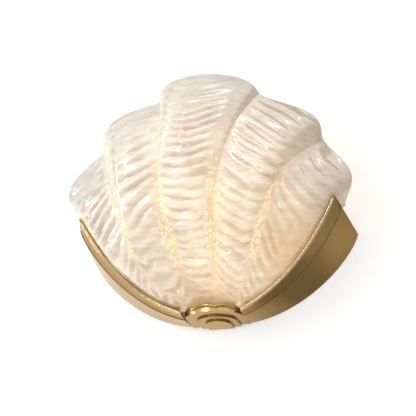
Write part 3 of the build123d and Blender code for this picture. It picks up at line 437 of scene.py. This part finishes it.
def bead_section(t, side):
    """The bead's centre at t, the bezel's direction, the one square to it, and the radius."""
    rear, crease, lip = on_line(REAR_LINE, t, side), crease_at(t, side), on_line(LIP_LINE, t, side)
    along = unit(lip - crease)
    skirt = unit(crease - rear)
    inward = unit(along * (along @ skirt) - skirt)
    radius = BEAD_RADII[0] * (1 - t) + BEAD_RADII[1] * t
    return lip - along * radius + inward * BEAD_INSET, along, inward, radius


def make_bead(side):
    """The rounded lip of a wing as a bead that stands a little proud of its bezel."""
    points = []
    turns = np.linspace(0, 2 * pi, BEAD_SIDES, endpoint=False)
    for ring, t in enumerate(np.linspace(*BEAD_ENDS, BEAD_RINGS)):
        centre, along, inward, radius = bead_section(t, side)
        into_tip = max(0.0, (ring - BEAD_RINGS + BEAD_TIP_RINGS) / BEAD_TIP_RINGS)
        taper = np.sqrt(1 - into_tip**2)
        for turn in turns:
            points.append(centre + (along * cos(turn) + inward * sin(turn)) * radius * taper)
    faces = []
    for ring, place in product(range(BEAD_RINGS - 1), range(BEAD_SIDES)):
        a, b = ring * BEAD_SIDES + place, ring * BEAD_SIDES + (place + 1) % BEAD_SIDES
        faces.append((a, b, b + BEAD_SIDES, a + BEAD_SIDES))
    faces.append(tuple(range(BEAD_SIDES)))
    faces.append(tuple((BEAD_RINGS - 1) * BEAD_SIDES + place for place in range(BEAD_SIDES)))
    piece = mesh_object("right_lip_bead" if side > 0 else "left_lip_bead", np.array(points), faces)
    turn_faces_outward(piece)
    return piece


# ---------------------------------------------------------------- materials


def set_range(node, *numbers):
    for socket, number in zip(("From Min", "From Max", "To Min", "To Max"), numbers):
        node.inputs[socket].default_value = number


def set_stops(node, stops):
    """Gives a colour ramp its stops of (place, colour)."""
    elements = node.color_ramp.elements
    while len(elements) < len(stops):
        elements.new(0.5)
    for element, (place, colour) in zip(elements, stops):
        element.position = place
        element.color = (*colour, 1.0)


def tinted(greys, tint):
    """Stops of (place, colour) from pairs of place and grey."""
    return [(place, tuple(grey * part for part in tint)) for place, grey in greys]


def mixed_shaders(nodes, link, share, first, second):
    """A shader that is the first where the share is 0 and the second where it is 1."""
    node = nodes.new("ShaderNodeMixShader")
    link(share, node.inputs["Fac"])
    link(first, node.inputs[1])
    link(second, node.inputs[2])
    return node.outputs[0]


class Finish:
    """A material's node tree, with short calls for what its recipes need."""

    def __init__(self, name, **inputs):
        """Inputs are sockets of the shader, with underscores for the spaces in their names."""
        self.material = bpy.data.materials.new(name)
        self.material.use_nodes = True
        self.nodes = self.material.node_tree.nodes
        self.link = self.material.node_tree.links.new
        self.shader = self.nodes["Principled BSDF"]
        for socket, value in inputs.items():
            self.shader.inputs[socket.replace("_", " ")].default_value = value
        self.place = self.nodes.new("ShaderNodeTexCoord").outputs["Object"]

    def noise(self, scale, detail=3.0, roughness=0.5, stretch=None):
        """Noise over the object's own space, scale counted per metre."""
        texture = self.nodes.new("ShaderNodeTexNoise")
        texture.inputs["Scale"].default_value = scale
        texture.inputs["Detail"].default_value = detail
        texture.inputs["Roughness"].default_value = roughness
        self.link(self.scaled(stretch) if stretch else self.place, texture.inputs["Vector"])
        return texture.outputs["Fac"]

    def vector_math(self, operation, first, second):
        node = self.nodes.new("ShaderNodeVectorMath")
        node.operation = operation
        self.link(first, node.inputs[0])
        node.inputs[1].default_value = second
        return node.outputs

    def scaled(self, factors):
        """The place on the object, with each axis multiplied by its factor."""
        return self.vector_math("MULTIPLY", self.place, factors)["Vector"]

    def distance(self, first, second):
        return self.vector_math("DISTANCE", first, second)["Value"]

    def math(self, operation, first, second=0.0):
        node = self.nodes.new("ShaderNodeMath")
        node.operation = operation
        for socket, value in zip(node.inputs, (first, second)):
            if isinstance(value, (int, float)):
                socket.default_value = value
            else:
                self.link(value, socket)
        return node.outputs[0]

    def spread(self, value, low, high, to_low=0.0, to_high=1.0, smooth=False):
        """Turns the range from low to high into the range from to_low to to_high."""
        node = self.nodes.new("ShaderNodeMapRange")
        node.interpolation_type = "SMOOTHSTEP" if smooth else "LINEAR"
        self.link(value, node.inputs["Value"])
        set_range(node, low, high, to_low, to_high)
        return node.outputs[0]

    def attribute(self, name):
        node = self.nodes.new("ShaderNodeAttribute")
        node.attribute_name = name
        return node.outputs["Fac"]

    def mix(self, factor, first, second):
        """A colour between two, each a tuple or a socket."""
        node = self.nodes.new("ShaderNodeMix")
        node.data_type = "RGBA"
        self.link(factor, node.inputs["Factor"])
        for socket, value in zip((node.inputs[6], node.inputs[7]), (first, second)):
            if isinstance(value, tuple):
                socket.default_value = (*value, 1.0)
            else:
                self.link(value, socket)
        return node.outputs[2]

    def ramp(self, value, *stops):
        """A colour that runs through stops of (place, colour)."""
        node = self.nodes.new("ShaderNodeValToRGB")
        self.link(value, node.inputs["Fac"])
        set_stops(node, stops)
        return node.outputs["Color"]

    def bump(self, height, distance, strength):
        """Fine relief; distance is its height in metres."""
        node = self.nodes.new("ShaderNodeBump")
        node.inputs["Strength"].default_value = strength
        node.inputs["Distance"].default_value = distance
        self.link(height, node.inputs["Height"])
        self.link(node.outputs["Normal"], self.shader.inputs["Normal"])

    def set(self, socket, value):
        self.link(value, self.shader.inputs[socket])


# Where the light sits behind the glass, the middle of the glow painted on the shade, where a painted
# amber glow lies by the right lip and over the heel, and what the painted side shading counts from.
BULB_CENTRE = (-0.002, -0.038, 0.078)
BULB_GLOW_REACH = 0.045
GLOW_CENTRE = (0.006, -0.072, 0.074)
LIP_GLOW_CENTRE = (0.090, -0.058, 0.040)
HEEL_GLOW_CENTRE = (0.0, -0.035, 0.0)
LEFT_OF_SHADE = (-0.20, 0.0, 0.0)

# The colours of the opal glass: white and grey on the left, cream and tan to the right as painted
# side shading, then amber, and the colours of its painted glow.
OPAL_WHITE = (0.745, 0.705, 0.662)
OPAL_GREY = (0.50, 0.455, 0.417)
OPAL_CREAM = (0.76, 0.64, 0.50)
OPAL_TAN = (0.58, 0.45, 0.33)
AMBER_VALLEY_AND_GLOW = (0.80, 0.58, 0.36)
GLOW_CREAM = (1.0, 0.79, 0.50)
GLOW_AMBER = (1.0, 0.59, 0.24)


def amber_and_glow_share(f, clouds):
    """Where the shade turns amber: in the lower valleys, and as painted glow beside the right lip and
    over the heel.
    """
    off_crest = f.math("ABSOLUTE", f.math("SUBTRACT", f.attribute("share_across"), 0.5))
    valley = f.spread(off_crest, 0.33, 0.5, smooth=True)
    valley = f.math("MULTIPLY", valley, f.spread(f.attribute("share_up"), 0.25, 0.7, 0.8, 0.0))
    valley = f.math("MULTIPLY", valley, f.spread(clouds, 0.35, 0.6, 0.45, 1.0))
    # Painted glow: amber beside the right lip and over the heel, broken into streaks.
    from_lip, from_heel = f.distance(f.place, LIP_GLOW_CENTRE), f.distance(f.place, HEEL_GLOW_CENTRE)
    lip_glow = f.spread(from_lip, 0.012, 0.062, 1.0, 0.0, smooth=True)
    heel_glow = f.spread(from_heel, 0.015, 0.055, 0.8, 0.0)
    streaks = f.spread(f.noise(70.0, 3.0, 0.6, stretch=(2.6, 1.0, 0.8)), 0.35, 0.65, 0.5, 1.0)
    glow = f.math("MULTIPLY", f.math("MAXIMUM", lip_glow, heel_glow), streaks)
    return f.math("MAXIMUM", glow, valley)


def opal_glass():
    """Pearly glass with milky clouds, painted warmer to the right, and a painted glow as if a bulb lit
    it.
    """
    f = Finish("opal_glass", Roughness=0.20, IOR=1.5, Coat_Weight=1.0, Coat_Roughness=0.035,
               Coat_IOR=1.7)
    clouds = f.noise(34.0, 4.0, 0.6)
    wisps = f.noise(52.0, 3.0, 0.6, stretch=(1.0, 1.0, 5.0))
    milk = f.math("ADD", f.spread(clouds, 0.35, 0.7, 0.0, 0.6), f.spread(wisps, 0.4, 0.7, 0.0, 0.5))
    amber = amber_and_glow_share(f, clouds)
    # Painted side shading: greyer white on the left, warmer cream and tan to the right.
    from_left = f.distance(f.scaled((1.0, 0.0, 0.35)), LEFT_OF_SHADE)
    left, right = f.mix(milk, OPAL_GREY, OPAL_WHITE), f.mix(milk, OPAL_TAN, OPAL_CREAM)
    clouds_and_side_shade = f.mix(f.spread(from_left, 0.15, 0.36, 0.0, 0.8), left, right)
    # The base colour turns amber by the same share, the painted glow by the lip and heel included.
    f.set("Base Color", f.mix(f.math("MULTIPLY", amber, 0.75), clouds_and_side_shade, AMBER_VALLEY_AND_GLOW))

    # Painted shade in the ripples: warmer, dimmer glow in the troughs and brighter glow on the crests.
    ripple = f.attribute("ripple")
    painted_trough_shade = f.math("SUBTRACT", 1.0, f.spread(ripple, -0.9, 0.7))
    warm_trough_shade = f.math("MULTIPLY", painted_trough_shade, f.spread(milk, 0.1, 0.9, 1.0, 0.5))
    f.set("Emission Color", f.mix(amber, f.mix(warm_trough_shade, GLOW_CREAM, GLOW_AMBER), GLOW_AMBER))
    # Painted glow: emission stands for the bulb's light through the glass, strongest round
    # GLOW_CENTRE.
    near = f.spread(f.distance(f.place, GLOW_CENTRE), 0.03, 0.180, 1.0, 0.0, smooth=True)
    glow = f.math("ADD", f.math("MULTIPLY", near, f.spread(milk, 0.0, 1.0, 0.36, 0.63)), 0.06)
    f.set("Emission Strength", f.math("MULTIPLY", glow, f.spread(ripple, -1.0, 0.9, 0.76, 1.14)))
    f.bump(f.noise(150.0, 2.0, 0.5), 0.0005, 0.2)
    return f.material


def pearl_glass():
    """The small pearls: smoother and warmer than the glass round them, with a painted glow."""
    f = Finish("pearl_glass", Roughness=0.15, IOR=1.5, Coat_Weight=1.0, Coat_Roughness=0.04)
    f.set("Base Color", f.mix(f.noise(300.0), (0.85, 0.66, 0.42), (0.95, 0.82, 0.62)))
    f.set("Emission Color", f.mix(f.noise(420.0), GLOW_CREAM, GLOW_AMBER))
    f.set("Emission Strength", f.spread(f.distance(f.place, GLOW_CENTRE), 0.03, 0.15, 0.75, 0.05))
    return f.material


def glowing_bulb():
    """Frosted glass that is brightest round its middle."""
    f = Finish("bulb_glass", Roughness=0.35, IOR=1.5, Coat_Weight=0.6, Coat_Roughness=0.05)
    f.set("Base Color", f.mix(f.noise(120.0), (0.62, 0.58, 0.50), (0.70, 0.66, 0.58)))
    away = f.distance(f.place, BULB_CENTRE)
    stops = ((0.0, (1.0, 0.9, 0.74)), (1.0, (1.0, 0.78, 0.5)))
    f.set("Emission Color", f.ramp(f.spread(away, 0.0, BULB_GLOW_REACH), *stops))
    f.set("Emission Strength", f.spread(away, 0.018, BULB_GLOW_REACH, 0.62, 0.22))
    return f.material


def filament():
    f = Finish("filament", Roughness=0.4, Emission_Strength=6.0)
    f.set("Base Color", f.mix(f.noise(900.0), (0.9, 0.6, 0.25), (1.0, 0.75, 0.4)))
    f.set("Emission Color", f.mix(f.noise(900.0), (1.0, 0.62, 0.26), (1.0, 0.75, 0.42)))
    return f.material


def metal(name, dark, light, roughness, grain=(1.0, 1.0, 1.0), scale=30.0, relief=0.00004):
    """A polished or plated metal with faint clouding and fine lines along its grain."""
    f = Finish(name, Metallic=1.0)
    clouds = f.noise(scale, 4.0, 0.55)
    lines = f.noise(scale * 40, 2.0, 0.5, stretch=grain)
    f.set("Base Color", f.mix(f.spread(clouds, 0.3, 0.7), dark, light))
    wear = f.math("ADD", clouds, f.math("MULTIPLY", lines, 0.4))
    f.set("Roughness", f.spread(wear, 0.5, 0.9, *roughness))
    f.bump(lines, relief, 0.35)
    return f.material


def moulded(name, dark, light, roughness, scale=60.0, **inputs):
    """A moulded plastic, rubber or ceramic with a slight unevenness."""
    f = Finish(name, **inputs)
    clouds = f.noise(scale, 4.0, 0.6)
    grain = f.noise(scale * 30, 2.0, 0.5)
    f.set("Base Color", f.mix(f.spread(clouds, 0.3, 0.7), dark, light))
    f.set("Roughness", f.spread(grain, 0.3, 0.7, roughness - 0.06, roughness + 0.08))
    f.bump(grain, 0.00008, 0.4)
    return f.material


METALS = {
    "brass": dict(dark=(0.40, 0.255, 0.095), light=(0.48, 0.32, 0.128), roughness=(0.13, 0.21),
                  grain=(1.0, 1.0, 0.15), scale=12.0, relief=0.000008),
    # The lip beads' brass: lighter than the wings' brass, as a painted highlight along the lips.
    "brass_painted_highlight": dict(dark=(0.70, 0.53, 0.27), light=(0.82, 0.65, 0.38), roughness=(0.11, 0.16),
                         scale=9.0, relief=0.0000002),
    "plate_steel": dict(dark=(0.42, 0.42, 0.43), light=(0.60, 0.60, 0.61), roughness=(0.34, 0.5),
                        grain=(0.1, 1.0, 1.0)),
    "screw_brass": dict(dark=(0.50, 0.36, 0.15), light=(0.66, 0.50, 0.24), roughness=(0.2, 0.36),
                        scale=90.0),
    "screw_steel": dict(dark=(0.45, 0.45, 0.46), light=(0.66, 0.66, 0.67), roughness=(0.25, 0.4),
                        scale=90.0),
    "contact_brass": dict(dark=(0.55, 0.40, 0.18), light=(0.72, 0.55, 0.28), roughness=(0.22, 0.4),
                          scale=120.0),
    "bulb_metal": dict(dark=(0.58, 0.58, 0.58), light=(0.76, 0.76, 0.75), roughness=(0.22, 0.36),
                       grain=(1.0, 1.0, 0.1), scale=80.0),
}
MOULDINGS = {
    "silicone": dict(dark=(0.62, 0.61, 0.58), light=(0.72, 0.71, 0.68), roughness=0.5,
                     Subsurface_Weight=0.2),
    "holder_plastic": dict(dark=(0.66, 0.64, 0.60), light=(0.76, 0.74, 0.70), roughness=0.36),
    "terminal_plastic": dict(dark=(0.70, 0.69, 0.65), light=(0.80, 0.79, 0.75), roughness=0.42),
    "grommet_rubber": dict(dark=(0.018, 0.018, 0.018), light=(0.035, 0.034, 0.033), roughness=0.6),
    "bulb_black": dict(dark=(0.01, 0.01, 0.012), light=(0.03, 0.028, 0.03), roughness=0.2),
    "wire_brown": dict(dark=(0.12, 0.045, 0.018), light=(0.17, 0.065, 0.028), roughness=0.42,
                       scale=90.0),
    "wire_blue": dict(dark=(0.012, 0.07, 0.30), light=(0.02, 0.10, 0.40), roughness=0.42,
                      scale=90.0),
    "wire_earth": dict(dark=(0.10, 0.34, 0.05), light=(0.60, 0.56, 0.05), roughness=0.42,
                       scale=70.0),
}
LIT_FINISHES = {"opal_glass": opal_glass, "bulb_glass": glowing_bulb, "filament": filament}


def make_finish(name):
    if name in METALS:
        return metal(name, **METALS[name])
    if name in MOULDINGS:
        return moulded(name, **MOULDINGS[name])
    return LIT_FINISHES[name]()


def dress_cad_nodes():
    """Gives every CAD node the finish of its material slot."""
    made = {}
    slot_of = {part["node"]: part["material_slot"] for part in frame["record"]["subparts"]}
    for name, node in frame["nodes"].items():
        slot = slot_of[name]
        if slot not in made:
            made[slot] = make_finish(slot)
        node.data.materials.clear()
        node.data.materials.append(made[slot])
    return made


# ---------------------------------------------------------------- the studio

CAMERA_PLACE = Vector((0.47087, -1.44110, -0.37616))
CAMERA_TARGET = Vector((0.004433, -0.060, 0.091606))
CAMERA_ROLL = 0.003
CAMERA_LENS = 131.499
SENSOR_WIDTH = 36.0

# Each light's place, width, height and watts. All of them face the same point in the shade.
LIT_POINT = Vector((0, -0.05, 0.08))
LIGHTS = {
    "key_softbox": ((-0.95, -1.5, 1.0), 0.5, 0.5, 2.2),
    "left_strip": ((-1.15, -0.42, 0.22), 0.09, 1.0, 4.6),
    "front_strip": ((-0.55, -1.25, 0.55), 0.04, 0.8, 1.6),
    "low_strip": ((-0.45, -1.25, -0.50), 0.7, 0.04, 1.0),
    "top_strip": ((0.1, -0.6, 1.2), 0.9, 0.12, 1.6),
}

# The strength of the even light all round.
SOFT_LIGHT = 0.42

# What reflections show of the studio: its strength, and (share of the height, grey), dark below
# and light above.
REFLECTED_LIGHT = 1.9
STUDIO_GREYS = ((0.0, 0.16), (0.30, 0.27), (0.5, 0.34), (0.62, 0.50), (0.76, 0.85), (1.0, 1.0))
STUDIO_TINT = (1.0, 1.0, 0.98)

# The wall stands just behind the part, and the floor lies far below it.
ROOM_REACH = 3.0
ROOM_TOP = 2.0
FLOOR_Z = -1.6
WALL_Y = 0.0006

# The wall lights itself a little, except in an oval behind the shade that is left dark as painted
# shade.
WALL_GLOW = 0.49
OVAL_HALF_WIDTH = 0.125
OVAL_HALF_HEIGHT = 0.10
OVAL_CENTRE_Z = 0.08

# What reflections show of the wall: (share of the way, grey) over a span to the right of a place on
# its left, and one lighter patch.
WALL_LEFT = (-0.30, 0.0, 0.0)
WALL_SPAN = (0.12, 0.48)
WALL_GREYS = ((0.0, 1.0), (0.5, 0.88), (0.74, 0.27), (1.0, 0.25))
WALL_TINT = (1.0, 0.94, 0.79)
WALL_REFLECTION = 1.15
PATCH_CENTRE = (0.165, 0.0, 0.045)
PATCH_RADIUS = 0.07
PATCH_REFLECTION = 1.5


def make_camera():
    look = (CAMERA_TARGET - CAMERA_PLACE).normalized()
    level = look.cross(Vector((0, 0, 1))).normalized()
    above = level.cross(look)
    right = level * cos(CAMERA_ROLL) + above * sin(CAMERA_ROLL)
    up = right.cross(look)
    data = bpy.data.cameras.new("camera")
    data.lens = CAMERA_LENS
    data.sensor_width = SENSOR_WIDTH
    data.clip_start, data.clip_end = 0.01, 30.0
    camera = bpy.data.objects.new("camera", data)
    camera.matrix_world = Matrix((
        (right.x, up.x, -look.x, CAMERA_PLACE.x),
        (right.y, up.y, -look.y, CAMERA_PLACE.y),
        (right.z, up.z, -look.z, CAMERA_PLACE.z),
        (0, 0, 0, 1),
    ))
    bpy.context.scene.collection.objects.link(camera)
    bpy.context.scene.camera = camera


def add_light(name, place, width, height, watts):
    data = bpy.data.lights.new(name, "AREA")
    data.shape = "RECTANGLE"
    data.size, data.size_y = width, height
    data.energy = watts
    light = bpy.data.objects.new(name, data)
    light.location = place
    light.rotation_euler = (LIT_POINT - Vector(place)).to_track_quat("-Z", "Y").to_euler()
    light.visible_camera = False
    bpy.context.scene.collection.objects.link(light)


def stage_plane(name, corners, material):
    mesh = bpy.data.meshes.new(name)
    mesh.from_pydata(corners, [], [(0, 1, 2, 3)])
    plane = bpy.data.objects.new(name, mesh)
    mesh.materials.append(material)
    bpy.context.scene.collection.objects.link(plane)


def reflected_wall(f):
    """The wall as reflections show it: light to the left, dim to the right, with one patch."""
    shown = f.nodes.new("ShaderNodeEmission")
    across = f.spread(f.distance(f.scaled((1.0, 0.0, 0.0)), WALL_LEFT), *WALL_SPAN)
    f.link(f.ramp(across, *tinted(WALL_GREYS, WALL_TINT)), shown.inputs["Color"])
    from_patch = f.distance(f.place, PATCH_CENTRE)
    patch = f.spread(from_patch, 0.0, PATCH_RADIUS, PATCH_REFLECTION, 0.0, smooth=True)
    f.link(f.math("ADD", patch, WALL_REFLECTION), shown.inputs["Strength"])
    return shown.outputs[0]


def wall_finish():
    """A white wall that shows from the room side only, so that the part's back can be seen."""
    f = Finish("stage_wall", Roughness=0.9, Specular_IOR_Level=0.0, Emission_Color=(1, 1, 1, 1))
    f.set("Base Color", f.mix(f.noise(3.0), (0.90, 0.90, 0.90), (0.92, 0.92, 0.92)))
    # Painted shade: the wall's glow stops in an oval behind the shade.
    flat = f.scaled((1 / OVAL_HALF_WIDTH, 0.0, 1 / OVAL_HALF_HEIGHT))
    away = f.distance(flat, (0.0, 0.0, OVAL_CENTRE_Z / OVAL_HALF_HEIGHT))
    f.set("Emission Strength", f.spread(away, 0.85, 1.05, 0.0, WALL_GLOW, smooth=True))
    reflected = f.nodes.new("ShaderNodeLightPath").outputs["Is Glossy Ray"]
    behind = f.nodes.new("ShaderNodeNewGeometry").outputs["Backfacing"]
    clear = f.nodes.new("ShaderNodeBsdfTransparent").outputs[0]
    front = mixed_shaders(f.nodes, f.link, reflected, f.shader.outputs[0], reflected_wall(f))
    whole = mixed_shaders(f.nodes, f.link, behind, front, clear)
    f.link(whole, f.nodes["Material Output"].inputs["Surface"])
    return f.material


def floor_finish():
    f = Finish("stage_floor", Roughness=0.8)
    f.set("Base Color", f.mix(f.noise(2.0), (0.80, 0.80, 0.79), (0.84, 0.84, 0.83)))
    return f.material


def make_world():
    """Even white for the camera and for soft light, and a studio's lights and darks in reflections."""
    world = bpy.data.worlds.new("studio")
    world.use_nodes = True
    nodes, link = world.node_tree.nodes, world.node_tree.links.new
    even = nodes["Background"]
    even.inputs["Color"].default_value = (1, 1, 1, 1)
    even.inputs["Strength"].default_value = SOFT_LIGHT
    shown = nodes.new("ShaderNodeBackground")
    shown.inputs["Strength"].default_value = REFLECTED_LIGHT
    split = nodes.new("ShaderNodeSeparateXYZ")
    link(nodes.new("ShaderNodeTexCoord").outputs["Generated"], split.inputs[0])
    height = nodes.new("ShaderNodeMapRange")
    set_range(height, -1, 1, 0, 1)
    link(split.outputs["Z"], height.inputs["Value"])
    ramp = nodes.new("ShaderNodeValToRGB")
    set_stops(ramp, tinted(STUDIO_GREYS, STUDIO_TINT))
    link(height.outputs[0], ramp.inputs["Fac"])
    link(ramp.outputs["Color"], shown.inputs["Color"])
    reflected = nodes.new("ShaderNodeLightPath").outputs["Is Glossy Ray"]
    whole = mixed_shaders(nodes, link, reflected, even.outputs[0], shown.outputs[0])
    link(whole, nodes["World Output"].inputs["Surface"])
    bpy.context.scene.world = world


def make_studio():
    make_camera()
    make_world()
    left, right = -ROOM_REACH, ROOM_REACH
    wall = [(left, WALL_Y, FLOOR_Z), (right, WALL_Y, FLOOR_Z), (right, WALL_Y, ROOM_TOP),
            (left, WALL_Y, ROOM_TOP)]
    floor = [(left, left, FLOOR_Z), (right, left, FLOOR_Z), (right, right, FLOOR_Z),
             (left, right, FLOOR_Z)]
    stage_plane("wall", wall, wall_finish())
    stage_plane("floor", floor, floor_finish())
    for name, (place, width, height, watts) in LIGHTS.items():
        add_light(name, place, width, height, watts)
    scene = bpy.context.scene
    scene.view_settings.view_transform = "Standard"
    scene.view_settings.look = "None"


# ---------------------------------------------------------------- the dressed part

made = dress_cad_nodes()

shade = make_shade()
shade.data.materials.append(made["opal_glass"])
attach(shade, "shade")
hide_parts("glass_shell")

pearls = make_pearls()
pearls.data.materials.append(pearl_glass())
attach(pearls, "shade")

# The beads get the lighter brass that paints their highlight.
brass_painted_highlight = make_finish("brass_painted_highlight")
for side in (-1, 1):
    bead = make_bead(side)
    bead.data.materials.append(brass_painted_highlight)
    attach(bead, "fixture")

make_studio()
